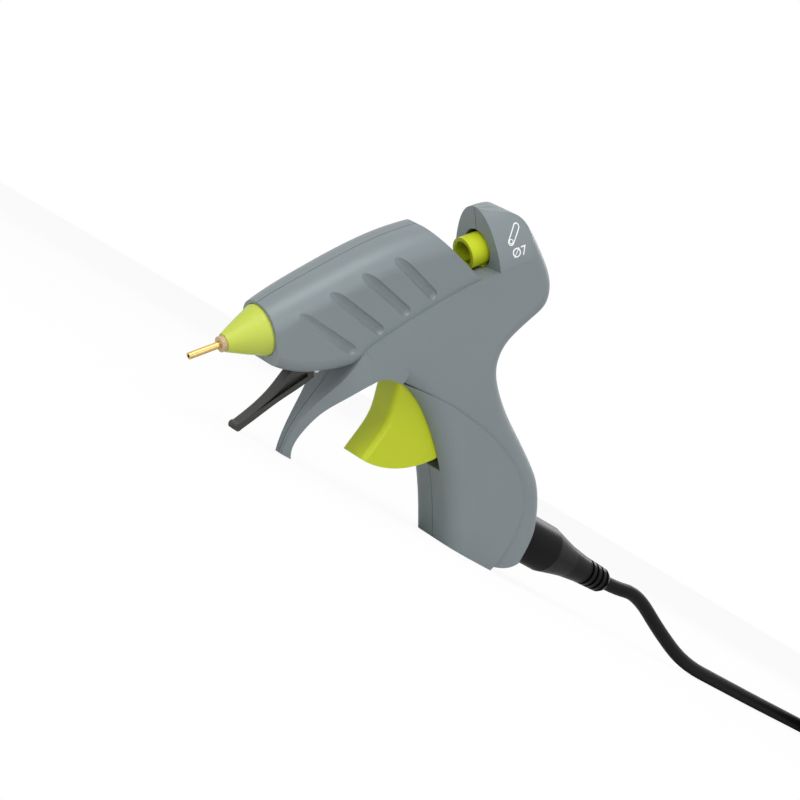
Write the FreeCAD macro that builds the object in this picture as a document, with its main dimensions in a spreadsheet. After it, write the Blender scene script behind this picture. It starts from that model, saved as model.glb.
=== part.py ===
# Hot-glue gun for 7 mm sticks, standing on its grip base and its fold-out leg.
#
# Gun frame, in which most pieces are drawn: the barrel axis is X, the needle tip is at X = 0, the stick
# enters from +X, Z points up from the barrel, and the two housing halves meet at Y = 0 (left is -Y).
# Table frame, in which the cord and its fittings are drawn: X runs along the table, Z = 0 is the table
# and X = 0 is the front edge of the grip base. The gun frame is tipped nose-down by rest_angle in it.
# Row frame, in which every piece is placed: the table frame, moved along X until the origin is below
# the middle of the box around the gun.
import FreeCAD, Part
import Sketcher
import math
import os
import re
from types import SimpleNamespace

V = FreeCAD.Vector
X_AXIS = V(1, 0, 0)
Y_AXIS = V(0, 1, 0)
Z_AXIS = V(0, 0, 1)
TURN_TO = {
    "X": FreeCAD.Rotation(Y_AXIS, 90),
    "Y": FreeCAD.Rotation(X_AXIS, -90),
    "Z": FreeCAD.Rotation(),
}
TO_PLAN = FreeCAD.Rotation(X_AXIS, -90)
TO_SECTION = FreeCAD.Rotation(Z_AXIS, 90)

doc = FreeCAD.newDocument("glue_gun")

# ---------------------------------------------------------------------------------------------------
# Driving sizes (millimetres and degrees)
# ---------------------------------------------------------------------------------------------------
SIZES = {
    # stance on the table
    "rest_angle": 44.0,
    "base_front_x": 82.0,
    "base_drop": 97.0,
    "base_length": 19.0,
    "heel_reach": 29.6,
    # clearances
    "running_gap": 0.05,
    "slide_gap": 0.3,
    "seam_gap": 0.24,
    # housing
    "nose_front": 25.4,
    "half_thickness": 12.0,
    "grip_step": 0.6,
    "wall": 2.6,
    "barrel_wall": 2.0,
    "edge_radius": 6.0,
    "hood_front": 108.3,
    "hood_top": 14.6,
    "hood_hole_diameter": 13.2,
    "notch_floor": -4.8,
    "groove_radius": 1.9,
    "groove_depth": 1.15,
    "boss_radius": 3.0,
    "rib_thickness": 2.0,
    # screws
    "screw_diameter": 2.8,
    "screw_head_diameter": 5.2,
    "screw_head_height": 1.8,
    "screw_length": 15.0,
    # stick path and needle
    "inlet_bore": 8.4,
    "needle_diameter": 2.2,
    "needle_bore": 1.2,
    "needle_length": 18.0,
    "needle_root_diameter": 2.6,
    "collar_front": 10.9,
    "collar_length": 1.6,
    "collar_diameter": 5.0,
    # nozzle and its cover
    "cover_tip_diameter": 6.0,
    "cover_rim_diameter": 16.5,
    "cover_length": 14.0,
    "cover_wall": 1.4,
    "flange_gap": 0.65,
    "shank_diameter": 8.0,
    "shank_length": 6.5,
    "valve_bore": 4.4,
    "ball_diameter": 3.2,
    # melt chamber, sleeve and heater
    "chamber_diameter": 12.8,
    "chamber_bore": 7.8,
    "chamber_length": 39.0,
    "spigot_diameter": 10.0,
    "spigot_length": 8.0,
    "sleeve_length": 19.0,
    "sleeve_bore": 7.5,
    "clamp_band": 0.8,
    "block_front": 38.0,
    "block_length": 24.0,
    "block_half_width": 7.2,
    "heater_length": 18.0,
    "heater_width": 10.0,
    "heater_thickness": 2.4,
    "electrode_thickness": 0.4,
    "film_thickness": 0.15,
    # feed carriage, gripper and link
    "ring_diameter": 10.8,
    "ring_bore": 8.2,
    "ring_front": 102.5,
    "ring_length": 13.5,
    "gripper_x": 110.5,
    "gripper_drop": 10.4,
    "gripper_thickness": 2.4,
    "link_thickness": 1.6,
    "link_pin_diameter": 2.0,
    "open_pivot_gap": 0.45,
    # trigger
    "trigger_x": 79.0,
    "trigger_drop": 28.5,
    "trigger_radius": 36.0,
    "trigger_half_width": 6.0,
    "trigger_pin_diameter": 3.0,
    "hub_radius": 4.6,
    # return spring
    "spring_radius": 2.8,
    "spring_wire": 0.7,
    "spring_turns": 7.0,
    # stand leg
    "stand_x": 39.0,
    "stand_drop": 15.5,
    "stand_foot_x": 12.6,
    "stand_thickness": 4.0,
    "stand_pin_diameter": 2.0,
    "stand_web": 1.2,
    # cord and its fittings
    "cord_diameter": 5.1,
    "cord_height": 14.8,
    "relief_root_diameter": 16.8,
    "relief_tip_diameter": 7.6,
    "relief_length": 54.0,
    "relief_neck_diameter": 8.8,
    "lead_diameter": 1.6,
}

sheet = doc.addObject("Spreadsheet::Sheet", "Sizes")
for row, (alias, value) in enumerate(SIZES.items(), start=1):
    sheet.set(f"A{row}", alias)
    sheet.set(f"B{row}", str(value))
    sheet.setAlias(f"B{row}", alias)
doc.recompute()
mm = SimpleNamespace(**{alias: float(sheet.get(alias)) for alias in SIZES})

rest = math.radians(mm.rest_angle)
axis_to_wall = mm.half_thickness - mm.wall


def cells(text):
    """An expression in which each alias is written as a reference to the sheet."""
    return re.sub(r"[a-z][a-z_]+", lambda word: f"Sizes.{word[0]}" if word[0] in SIZES else word[0], text)


def from_table(along, height):
    """The gun-frame (x, z) of a point along the table from the base's front corner, and above it."""
    x = mm.base_front_x + along * math.cos(rest) + height * math.sin(rest)
    z = -mm.base_drop - along * math.sin(rest) + height * math.cos(rest)
    return (x, z)


# ---------------------------------------------------------------------------------------------------
# Ways to draw
# ---------------------------------------------------------------------------------------------------
pieces = {}
TABLE_IN_GUN = FreeCAD.Placement(V(mm.base_front_x, 0, -mm.base_drop),
                                 FreeCAD.Rotation(Y_AXIS, mm.rest_angle))


def bind(thing, **formulas):
    """Ties properties of a document object to cells of the sheet."""
    for name, formula in formulas.items():
        thing.setExpression(name, cells(formula))
    return thing


def rod(label, start, radius, length, axis="X"):
    """A cylinder from the point start along a named axis or a direction, its sizes formulas."""
    turn = TURN_TO[axis] if isinstance(axis, str) else FreeCAD.Rotation(Z_AXIS, axis)
    thing = doc.addObject("Part::Cylinder", label)
    thing.Placement = FreeCAD.Placement(V(*start), turn)
    return bind(thing, Radius=radius, Height=length)


def block(label, x, y, z):
    """A box between the two values of x, y and z."""
    thing = doc.addObject("Part::Box", label)
    thing.Length = x[1] - x[0]
    thing.Width = y[1] - y[0]
    thing.Height = z[1] - z[0]
    thing.Placement.Base = V(x[0], y[0], z[0])
    return thing


def fuse(label, *things):
    joined = doc.addObject("Part::MultiFuse", label)
    joined.Shapes = list(things)
    return joined


def cut(label, base, *tools):
    remains = doc.addObject("Part::Cut", label)
    remains.Base = base
    remains.Tool = tools[0] if len(tools) == 1 else fuse(f"{label}_tools", *tools)
    return remains


def common(label, first, second):
    shared = doc.addObject("Part::Common", label)
    shared.Base = first
    shared.Tool = second
    return shared


def slab(label, edges, low, high, turn=FreeCAD.Rotation()):
    """A plate from Y = low to Y = high whose side view has the outline edges, then turned."""
    plate = doc.addObject("Part::Feature", label)
    plate.Shape = Part.Face(Part.Wire(Part.__sortEdges__(edges))).extrude(V(0, high - low, 0))
    plate.Placement = FreeCAD.Placement(turn.multVec(V(0, low, 0)), turn)
    return plate


def smooth(points):
    """A spline through points, each (x, z), in the side view."""
    curve = Part.BSplineCurve()
    curve.interpolate([V(x, 0, z) for x, z in points])
    return curve.toShape()


def straight(*points):
    """The straight edges of a polyline through points, each (x, z), in the side view."""
    return [Part.makeLine(V(a[0], 0, a[1]), V(b[0], 0, b[1])) for a, b in zip(points, points[1:])]


def polygon(label, points, low, high):
    return slab(label, straight(*points, points[0]), low, high)


def bar(label, start, end, start_radius, end_radius, low, high, turn=FreeCAD.Rotation()):
    """A plate from Y = low to Y = high with round ends about start and end, each (x, z), then turned."""
    run = V(end[0] - start[0], 0, end[1] - start[1])
    lean = math.asin((start_radius - end_radius) / run.Length)
    along = run.normalize()
    out = along.cross(Y_AXIS)
    upper = along * math.sin(lean) + out * math.cos(lean)
    lower = along * math.sin(lean) - out * math.cos(lean)
    ends = []
    for centre, radius, back in ((start, start_radius, -1), (end, end_radius, 1)):
        middle = V(centre[0], 0, centre[1])
        ends.append((middle + upper * radius, middle + along * radius * back, middle + lower * radius))
    (up_a, back_a, low_a), (up_b, back_b, low_b) = ends
    edges = [
        Part.Arc(up_a, back_a, low_a).toShape(),
        Part.makeLine(low_a, low_b),
        Part.Arc(low_b, back_b, up_b).toShape(),
        Part.makeLine(up_b, up_a),
    ]
    return slab(label, edges, low, high, turn)


def rounded(label, base, radius, pick):
    """Fillets the edges of base for which pick is true."""
    doc.recompute()
    blend = doc.addObject("Part::Fillet", label)
    blend.Base = base
    blend.Edges = [(n, radius, radius) for n, edge in enumerate(base.Shape.Edges, start=1) if pick(edge)]
    return blend


def turned(label, profile):
    """A PartDesign body: profile, each corner (x formula, radius formula), turned about the barrel axis."""
    body = doc.addObject("PartDesign::Body", label)
    sketch = body_sketch(body, f"{label}_profile", "XZ_Plane", profile)
    turn = body.newObject("PartDesign::Revolution", f"{label}_turn")
    turn.Profile = sketch
    turn.ReferenceAxis = (sketch, ["H_Axis"])
    turn.Angle = 360
    return body


def body_sketch(body, label, plane, corners):
    """A closed sketch of straight edges on a body's own plane, each corner held by two bound distances."""
    sketch = body.newObject("Sketcher::SketchObject", label)
    support = next(item for item in body.Origin.OriginFeatures if item.Role == plane)
    sketch.AttachmentSupport = [(support, "")]
    sketch.MapMode = "FlatFace"
    count = len(corners)
    doc.recompute()
    probe = [(number(x), number(y)) for x, y in corners]
    for index in range(count):
        start = V(*probe[index], 0)
        end = V(*probe[(index + 1) % count], 0)
        sketch.addGeometry(Part.LineSegment(start, end), False)
    for index in range(count):
        sketch.addConstraint(Sketcher.Constraint("Coincident", index, 2, (index + 1) % count, 1))
    for index, corner in enumerate(corners):
        for direction, formula, place in zip(("DistanceX", "DistanceY"), corner, probe[index]):
            held = sketch.addConstraint(Sketcher.Constraint(direction, -1, 1, index, 1, place))
            sketch.setExpression(f"Constraints[{held}]", cells(formula))
    return sketch


calculator = doc.addObject("App::FeaturePython", "calculator")
calculator.addProperty("App::PropertyFloat", "Answer")


def number(formula):
    """What a formula in the sheet's aliases comes to."""
    calculator.setExpression("Answer", cells(formula))
    calculator.recompute()
    return calculator.Answer


def keep(name, thing, frame="gun"):
    """Names a finished sub-part, drawn in the gun or the table frame. Its label is its STEP file's name."""
    thing.Label = name
    pieces[name] = (thing, frame)
    return thing


# ---------------------------------------------------------------------------------------------------
# Housing: outer form
# ---------------------------------------------------------------------------------------------------
BARREL_SECTIONS = [
    # behind the nose, half width, top, bottom
    (0.0, 9.4, 9.2, -10.6),
    (10.6, 10.3, 11.5, -16.0),
    (27.6, 10.9, 14.3, -19.0),
    (44.6, 11.0, 16.3, -19.5),
    (62.6, 11.0, 15.9, -19.5),
    (82.0, 11.0, 13.5, -19.5),
]
CROWN_RADIUS = 8.4
KEEL_RADIUS = 5.0


def oval(label, x, half_width, top, bottom, top_radius, bottom_radius):
    """A sketch across the barrel at x: flat sides, round corners above and below."""
    sketch = doc.addObject("Sketcher::SketchObject", label)
    sketch.Placement = FreeCAD.Placement(V(x, 0, 0), FreeCAD.Rotation(V(1, 1, 1), 120))
    corners = [
        (half_width - top_radius, top - top_radius, top_radius, 0),
        (-half_width + top_radius, top - top_radius, top_radius, 90),
        (-half_width + bottom_radius, bottom + bottom_radius, bottom_radius, 180),
        (half_width - bottom_radius, bottom + bottom_radius, bottom_radius, 270),
    ]
    for index, (y, z, radius, start) in enumerate(corners):
        circle = Part.Circle(V(y, z, 0), Z_AXIS, radius)
        sketch.addGeometry(Part.ArcOfCircle(circle, math.radians(start), math.radians(start + 90)))
        next_y, next_z, next_radius, _ = corners[(index + 1) % 4]
        end = math.radians(start + 90)
        outward = V(math.cos(end), math.sin(end), 0)
        sketch.addGeometry(Part.LineSegment(V(y, z, 0) + outward * radius,
                                            V(next_y, next_z, 0) + outward * next_radius))
    return sketch


def barrel_form(label, inset):
    """The barrel, or with an inset the hollow in it."""
    sections = []
    for index, (along, half_width, top, bottom) in enumerate(BARREL_SECTIONS):
        x = mm.nose_front + (inset if index == 0 else along)
        sections.append(oval(f"{label}_section_{index}", x, half_width - inset, top - inset, bottom + inset,
                             CROWN_RADIUS - inset, KEEL_RADIUS - inset))
    form = doc.addObject("Part::Loft", label)
    form.Sections = sections
    form.Solid = True
    return form


def beyond_notch(label, offset):
    """All that lies behind the barrel's slanted rear face, moved forward by offset."""
    return polygon(label, [(106.7 - offset, -12.3), (80.5 - offset, 23.0), (130.0, 23.0), (130.0, -12.3)],
                   -20, 20)


ARCH = [(12.0, -4.0), (11.4, 0.0), (10.0, 4.4), (8.4, 8.0), (6.9, 10.4), (4.6, 12.8), (2.0, 14.2), (0.0, 14.6)]


def arch(label, inset):
    """The hood's cross-section, drawn out along the barrel."""
    right = [(y, z) for y, z in ARCH]
    left = [(-y, z) for y, z in reversed(ARCH[:-1])]
    edges = [smooth(right + left), *straight(left[-1], (-12.0, -125.0), (12.0, -125.0), right[0])]
    face = Part.Face(Part.Wire(Part.__sortEdges__(edges)))
    if inset:
        face = face.makeOffset2D(-inset)
    return slab(label, face.OuterWire.toNurbs().Edges, -140, -20, TO_SECTION)


crease = [(55.6, -14.1), (62.0, -12.1), (70.0, -10.1), (80.0, -8.1), (92.0, -6.0), (101.0, -5.0)]
crease.append((mm.hood_front, mm.notch_floor))
hood_back = [(mm.hood_front, mm.hood_top), (112.6, 13.0), (117.0, 11.7), (120.6, 9.6), (123.8, 5.0),
             (127.5, -4.0), (130.0, -12.0), (130.2, -18.5), (127.6, -23.8), (122.2, -26.8), (115.6, -29.6),
             (110.0, -33.2), (107.1, -38.5), (107.1, -46.0), (109.8, -57.0), (114.0, -68.0), (117.8, -78.0),
             (120.1, -86.0), (120.4, -93.0), from_table(mm.heel_reach, 23.0)]
front = [(60.0, -25.4), (65.5, -28.3), (71.0, -33.0), (75.3, -39.5), (78.2, -46.5), (80.3, -54.0),
         (81.9, -62.0), (82.9, -71.0), (83.0, -84.0), (mm.base_front_x, -mm.base_drop)]
heel_foot = from_table(mm.heel_reach, 6.6)
heel_curve = [heel_foot, from_table(mm.heel_reach - 2.2, 4.3), from_table(23.6, 2.4), from_table(17.0, 1.0)]
FRONT_INSET = 0.9
core_front = [(x + FRONT_INSET, z) for x, z in front]
core_front[-1] = from_table(1.6, 1.0)


def core_outline():
    """Band, hood, back, heel and grip core."""
    return [
        smooth(crease),
        *straight(crease[-1], hood_back[0]),
        smooth(hood_back),
        *straight(hood_back[-1], heel_foot),
        smooth(heel_curve),
        *straight(heel_curve[-1], core_front[-1]),
        smooth(core_front),
        *straight(core_front[0], crease[0]),
    ]


def runs_along(edge, y, low_x=-99.0, high_x=999.0):
    """True for an edge that lies in the plane of that y, between those x."""
    ends = [edge.Vertexes[0].Point, edge.Vertexes[-1].Point]
    return all(abs(abs(end.y) - y) < 1e-4 and low_x < end.x < high_x for end in ends)


core_plate = slab("core_plate", core_outline(), -mm.half_thickness, mm.half_thickness)
core_back = rounded("core_back", core_plate, mm.edge_radius,
                    lambda edge: runs_along(edge, mm.half_thickness, 107.0) and edge.Length > 100)
core_soft = rounded("core_soft", core_back, 5.0,
                    lambda edge: runs_along(edge, mm.half_thickness, 58.0, 90.0) and edge.Length > 60)
core = common("core", core_soft, arch("core_arch", 0))

panel_half = mm.half_thickness + mm.grip_step
panel_blunt = slab("panel_blunt", [*straight((58.5, -20.0), (125.0, -20.0), (125.0, -125.0), (82.5, -125.0),
                                             front[-1]),
                                   smooth(front), *straight(front[0], (58.5, -20.0))],
                   -panel_half, panel_half)
panel_soft = rounded("panel_soft", panel_blunt, 6.5,
                     lambda edge: runs_along(edge, panel_half, 58.0, 83.0) and edge.Length > 60)
panel_crease = [(65.5, -29.6), (69.8, -31.9), (81.0, -40.0), (92.5, -51.5), (103.5, -65.5), (109.8, -78.5),
                (111.2, -88.0), (108.6, -97.5), (103.2, -104.8), from_table(mm.base_length, 0.0)]
panel_side = slab("panel_side", [smooth(panel_crease),
                                 *straight(panel_crease[-1], front[-1], (55.0, -97.0), (55.0, -29.6),
                                           panel_crease[0])],
                  -panel_half, panel_half)
panel = common("panel", panel_soft, panel_side)

PRONG_WIDTHS = [(20.0, 1.2), (26.0, 1.7), (32.0, 2.5), (38.0, 4.0), (44.0, 6.4), (50.0, 9.8), (56.0, 11.9)]
prong_front = [(27.0, -43.4), (28.2, -41.2), (31.6, -36.6), (36.0, -32.3), (41.5, -28.0), (47.0, -23.5),
               (51.5, -18.5), crease[0]]
prong_inner = [(29.9, -46.2), (31.1, -42.0), (34.9, -37.7), (40.5, -33.3), (46.0, -30.2), (51.0, -27.6),
               (56.0, -25.8), (60.0, -25.5), (64.0, -27.2), (67.6, -30.0)]
prong_plate = slab("prong_plate", [smooth(prong_front),
                                   *straight(prong_front[-1], (62.5, -14.5), (70.5, -27.0), prong_inner[-1]),
                                   smooth(prong_inner), *straight(prong_inner[0], prong_front[0])],
                   -mm.half_thickness, mm.half_thickness)
taper_right = PRONG_WIDTHS + [(64.0, mm.half_thickness), (75.0, mm.half_thickness)]
taper_left = [(x, -y) for x, y in reversed(taper_right)]
prong_taper = slab("prong_taper", [smooth(taper_right[:-1]), *straight(*taper_right[-2:], *taper_left[:2]),
                                   smooth(taper_left[1:]), *straight(taper_left[-1], taper_right[0])],
                   -60, 60, TO_PLAN)
prong = common("prong", prong_plate, prong_taper)
barrel = cut("barrel", barrel_form("barrel_loft", 0), beyond_notch("behind_barrel", 0))
outer = fuse("outer", core, panel, prong, barrel)

# ---------------------------------------------------------------------------------------------------
# Housing: hollow, ribs and bosses
# ---------------------------------------------------------------------------------------------------
SCREW_PLACES = [(56.0, -19.0), (121.0, -19.0), (100.0, -80.0), (89.0, -97.0)]
under_head = mm.half_thickness - 1.4 - mm.screw_head_height
pivot = (mm.trigger_x, -mm.trigger_drop)
stand_pivot = (mm.stand_x, -mm.stand_drop)
peg = (91.5, -30.0)

core_face = Part.Face(Part.Wire(Part.__sortEdges__(core_outline())))
core_hollow = common("core_hollow",
                     slab("core_hollow_plate", core_face.makeOffset2D(-mm.wall).OuterWire.toNurbs().Edges,
                          -axis_to_wall, axis_to_wall),
                     arch("hollow_arch", mm.barrel_wall + 0.2))
barrel_hollow = cut("barrel_hollow", barrel_form("barrel_hollow_loft", mm.barrel_wall),
                    beyond_notch("behind_hollow", mm.barrel_wall + 0.6))
hollow = fuse("hollow", core_hollow, barrel_hollow)


def across(label, x, z, radius, half_length=None):
    """A rod through both halves, or to half_length each side of the seam, radius bound to the sheet."""
    half = half_length or mm.half_thickness
    return rod(label, (x, -half, z), radius, f"{2 * half}", "Y")


def both_sides(label, low, high, make):
    """The same thing twice: between y = low and high, and mirrored between -high and -low."""
    return [make(f"{label}_right", low, high), make(f"{label}_left", -high, -low)]


bosses = [across(f"screw_boss_{n}", x, z, "boss_radius + 0.7") for n, (x, z) in enumerate(SCREW_PLACES)]
bosses += both_sides("trigger_boss", mm.trigger_half_width + mm.slide_gap, mm.half_thickness,
                     lambda label, low, high: rod(label, (pivot[0], low, pivot[1]), "boss_radius",
                                                  f"{high - low}", "Y"))
bosses.append(across("spring_peg", *peg, "2.0"))
ribs = [
    block("nozzle_rib", (28.8, 28.8 + mm.rib_thickness), (-12, 12), (-20, 20)),
    block("sleeve_rib", (75.0, 75.0 + mm.rib_thickness), (-12, 12), (-9, 20)),
    rod("inlet_boss", (117.6, 0, 0), "6.0", "14.0"),
]
ribs += both_sides("guide_rib", 6.5, 12.0,
                   lambda label, low, high: block(label, (98.0, 118.5), (low, high), (-11.4, -9.9)))
ribs += both_sides("stand_rib", mm.stand_thickness / 2 + mm.slide_gap, 12.0,
                   lambda label, low, high: block(label, (34.8, 43.0), (low, high), (-19.0, -12.6)))
clamp_post = block("clamp_post", (14.0, 18.0), (-12.0, -1.0), (mm.cord_height - 7, mm.cord_height + 7))
clamp_post.Placement = TABLE_IN_GUN.multiply(clamp_post.Placement)
room = cut("room", hollow, *ribs, *bosses, clamp_post)

# ---------------------------------------------------------------------------------------------------
# Housing: openings and halves
# ---------------------------------------------------------------------------------------------------
GROOVES = [((32.0, 8.0), (50.6, -12.0)), ((44.0, 11.0), (61.3, -8.8)), ((56.5, 13.0), (71.7, -5.9)),
           ((69.0, 14.4), (82.2, -3.8))]


def groove(label, start, end, side):
    """A shallow flute down one side of the barrel, slanting back."""
    run = V(end[0] - start[0], 0, end[1] - start[1])
    beyond = side * (BARREL_SECTIONS[2][1] + mm.groove_radius - mm.groove_depth)
    parts = [rod(f"{label}_run", (start[0], beyond, start[1]), "groove_radius", f"{run.Length}", run)]
    for index, (x, z) in enumerate((start, end)):
        ball = doc.addObject("Part::Sphere", f"{label}_end_{index}")
        ball.Placement.Base = V(x, beyond, z)
        parts.append(bind(ball, Radius="groove_radius"))
    return parts


heel_hole = rod("heel_hole", (20.0, 0, mm.cord_height), "relief_neck_diameter / 2 + running_gap", "14.0")
heel_hole.Placement = TABLE_IN_GUN.multiply(heel_hole.Placement)
clamp_bores = []
for n, offset in enumerate((-4.9, 4.9)):
    bore = rod(f"clamp_bore_{n}", (16.0, -9.0, mm.cord_height + offset), "1.1", "12.0", "Y")
    bore.Placement = TABLE_IN_GUN.multiply(bore.Placement)
    clamp_bores.append(bore)
cord_saddle = rod("cord_saddle", (10.0, 0, mm.cord_height), "cord_diameter / 2", "12.0")
cord_saddle.Placement = TABLE_IN_GUN.multiply(cord_saddle.Placement)

openings = [
    rod("mouth", (mm.nose_front - 1, 0, 0), "cover_rim_diameter / 2 + 0.2", "4.2"),
    rod("nozzle_rib_hole", (28.0, 0, 0), "7.9", "4.0"),
    rod("sleeve_rib_hole", (74.0, 0, 0), "chamber_diameter / 2 + running_gap", "4.0"),
    rod("ring_way", (86.0, 0, 0), "ring_diameter / 2 + 0.7", "20.0"),
    rod("hood_hole", (106.0, 0, 0), "hood_hole_diameter / 2", "7.0"),
    rod("inlet", (116.0, 0, 0), "inlet_bore / 2", "20.0"),
    block("carriage_slot", (98.5, 117.3), (-3.6, 3.6), (-9.4, 0.0)),
    polygon("trigger_slot", [(68.4, -25.0), (68.4, -33.0), (58.0, -33.0), (58.0, -69.5), (90.0, -69.5),
                             (90.0, -25.0)], -mm.trigger_half_width - mm.slide_gap,
            mm.trigger_half_width + mm.slide_gap),
    block("stand_slot", (34.8, 47.5), (-mm.stand_thickness / 2 - mm.slide_gap,
                                       mm.stand_thickness / 2 + mm.slide_gap), (-22.5, -12.6)),
    across("stand_bore", *stand_pivot, "stand_pin_diameter / 2 + running_gap", 8.6),
    across("trigger_bore", *pivot, "trigger_pin_diameter / 2 + running_gap", 9.6),
    heel_hole, cord_saddle, *clamp_bores,
]
for n, (start, end) in enumerate(GROOVES):
    for side in (-1, 1):
        openings += groove(f"groove_{n}_{'left' if side < 0 else 'right'}", start, end, side)
for n, (x, z) in enumerate(SCREW_PLACES):
    openings.append(rod(f"screw_bore_{n}", (x, under_head - mm.screw_length - 0.4, z),
                        "screw_diameter / 2 + running_gap", "screw_length + 2", "Y"))
    openings.append(rod(f"screw_recess_{n}", (x, under_head, z),
                        "screw_head_diameter / 2 + slide_gap", "9.0", "Y"))
shell = cut("shell", outer, room, *openings)


def half(name, side):
    """One half of the housing: it stops short of the seam plane, but its bosses reach it."""
    low, high = (-20.0, -mm.seam_gap / 2) if side < 0 else (mm.seam_gap / 2, 20.0)
    reach = [block(f"{name}_side", (-10, 160), (low, high), (-130, 40))]
    for n, (x, z) in enumerate(SCREW_PLACES):
        reach.append(rod(f"{name}_boss_{n}", (x, min(0, side * 5.0), z), "boss_radius + 0.7", "5.0", "Y"))
    return keep(name, common(f"{name}_form", shell, fuse(f"{name}_reach", *reach)))


half("housing_left", -1)
half("housing_right", 1)

# ---------------------------------------------------------------------------------------------------
# Nozzle: needle, collar, cover, brass body and its ball valve
# ---------------------------------------------------------------------------------------------------
turned("needle_tube", [("0", "needle_bore / 2"), ("0", "needle_diameter / 2"),
                       ("collar_front", "needle_diameter / 2"), ("collar_front", "needle_root_diameter / 2"),
                       ("needle_length", "needle_root_diameter / 2"), ("needle_length", "needle_bore / 2")])
turned("needle_collar", [
    ("collar_front", "needle_root_diameter / 2 + running_gap"),
    ("collar_front", "collar_diameter / 2"),
    ("collar_front + collar_length", "collar_diameter / 2"),
    ("collar_front + collar_length", "needle_root_diameter / 2 + running_gap"),
])
cover_back = "collar_front + collar_length + cover_length"
cover_mid = "collar_front + collar_length + cover_length * 0.46"
turned("nozzle_cover", [
    ("collar_front + collar_length", "needle_root_diameter / 2 + slide_gap"),
    ("collar_front + collar_length", "cover_tip_diameter / 2"),
    (cover_mid, "cover_tip_diameter * 0.27 + cover_rim_diameter * 0.23 + 0.45"),
    (f"{cover_back} - 1.6", "cover_rim_diameter / 2"),
    (cover_back, "cover_rim_diameter / 2"),
    (cover_back, "cover_rim_diameter / 2 - cover_wall"),
    (f"{cover_back} - 1.6", "cover_rim_diameter / 2 - cover_wall"),
    (cover_mid, "cover_tip_diameter * 0.27 + cover_rim_diameter * 0.23 + 0.45 - cover_wall"),
    ("collar_front + collar_length + cover_wall", "cover_tip_diameter / 2 - 0.6"),
    ("collar_front + collar_length + cover_wall", "needle_root_diameter / 2 + slide_gap"),
])
chamber_front = "nose_front + 1.8"
valve_seat = "needle_length + 0.6"
flange = "cover_rim_diameter / 2 - cover_wall - flange_gap"
turned("nozzle_body", [
    ("14.2", "needle_root_diameter / 2"),
    ("14.2", "2.0"),
    ("23.6", f"{flange} - 0.7"),
    (f"{chamber_front} - 3.2", flange),
    (chamber_front, flange),
    (chamber_front, "shank_diameter / 2"),
    (f"{chamber_front} + shank_length", "shank_diameter / 2"),
    (f"{chamber_front} + shank_length", "valve_bore / 2 - 0.8"),
    (f"{chamber_front} + shank_length - 0.8", "valve_bore / 2 - 0.8"),
    (f"{chamber_front} + shank_length - 0.8", "valve_bore / 2"),
    (f"{valve_seat} + 1.6", "valve_bore / 2"),
    (valve_seat, "needle_bore / 2"),
    ("needle_length", "needle_bore / 2"),
    ("needle_length", "needle_root_diameter / 2"),
])
for label in ("needle_tube", "needle_collar", "nozzle_cover", "nozzle_body"):
    keep(label, doc.getObject(label))

ball_x = mm.needle_length + 2.6
valve_ball = doc.addObject("Part::Sphere", "valve_ball")
valve_ball.Placement.Base = V(ball_x, 0, 0)
keep("valve_ball", bind(valve_ball, Radius="ball_diameter / 2"))


def wire_coil(label, start, axis, radius, wire, pitch, turns):
    """A round-wire helix whose axis runs from start; the ends are cut square across the wire."""
    turn = TURN_TO[axis]
    line = Part.makeHelix(pitch, pitch * turns, radius)
    profile = Part.Wire(Part.makeCircle(wire / 2, V(radius, 0, 0), V(0, 1, 0)))
    coil = doc.addObject("Part::Feature", label)
    coil.Shape = line.makePipeShell([profile], True, True)
    coil.Placement = FreeCAD.Placement(V(*start), turn)
    return coil


valve_end = mm.nose_front + 1.8 + mm.shank_length - 0.8
VALVE_WIRE = 0.45
VALVE_TURNS = 6.0
valve_run = valve_end - (ball_x + 1.3) - VALVE_WIRE
keep("valve_spring", wire_coil("valve_spring", (ball_x + 1.3 + VALVE_WIRE / 2, 0, 0), "X",
                               mm.valve_bore / 2 - 0.45, VALVE_WIRE, valve_run / VALVE_TURNS, VALVE_TURNS))

# ---------------------------------------------------------------------------------------------------
# Melt chamber, its heater, and the silicone feed sleeve
# ---------------------------------------------------------------------------------------------------
front_x = mm.nose_front + 1.8
chamber_end = front_x + mm.chamber_length
block_x = (mm.block_front, mm.block_front + mm.block_length)
stack = 2 * (mm.electrode_thickness + mm.film_thickness) + mm.heater_thickness
heater_z = -8.85
keep("melt_chamber", cut(
    "chamber_form",
    fuse("chamber_body",
         rod("chamber_barrel", (front_x, 0, 0), "chamber_diameter / 2", "chamber_length"),
         rod("chamber_spigot", (chamber_end - 1, 0, 0), "spigot_diameter / 2", "spigot_length + 1"),
         block("chamber_block", block_x, (-mm.block_half_width, mm.block_half_width), (-11.5, -2.0))),
    rod("chamber_bore", (front_x - 1, 0, 0), "chamber_bore / 2", "chamber_length + spigot_length + 2"),
    rod("shank_socket", (front_x - 1, 0, 0), "shank_diameter / 2 + running_gap", "shank_length + 1.1"),
    block("heater_pocket", (block_x[0] - 1, block_x[1] + 1), (-5.3, 5.3),
          (heater_z - stack / 2, heater_z + stack / 2)),
))
heater_half = mm.heater_width / 2
heater_mid = sum(block_x) / 2
heater_x = (heater_mid - mm.heater_length / 2, heater_mid + mm.heater_length / 2)
heater = block("heater_element", heater_x, (-heater_half, heater_half),
               (heater_z - mm.heater_thickness / 2, heater_z + mm.heater_thickness / 2))
keep("heater_element", heater)
electrodes = []
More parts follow.
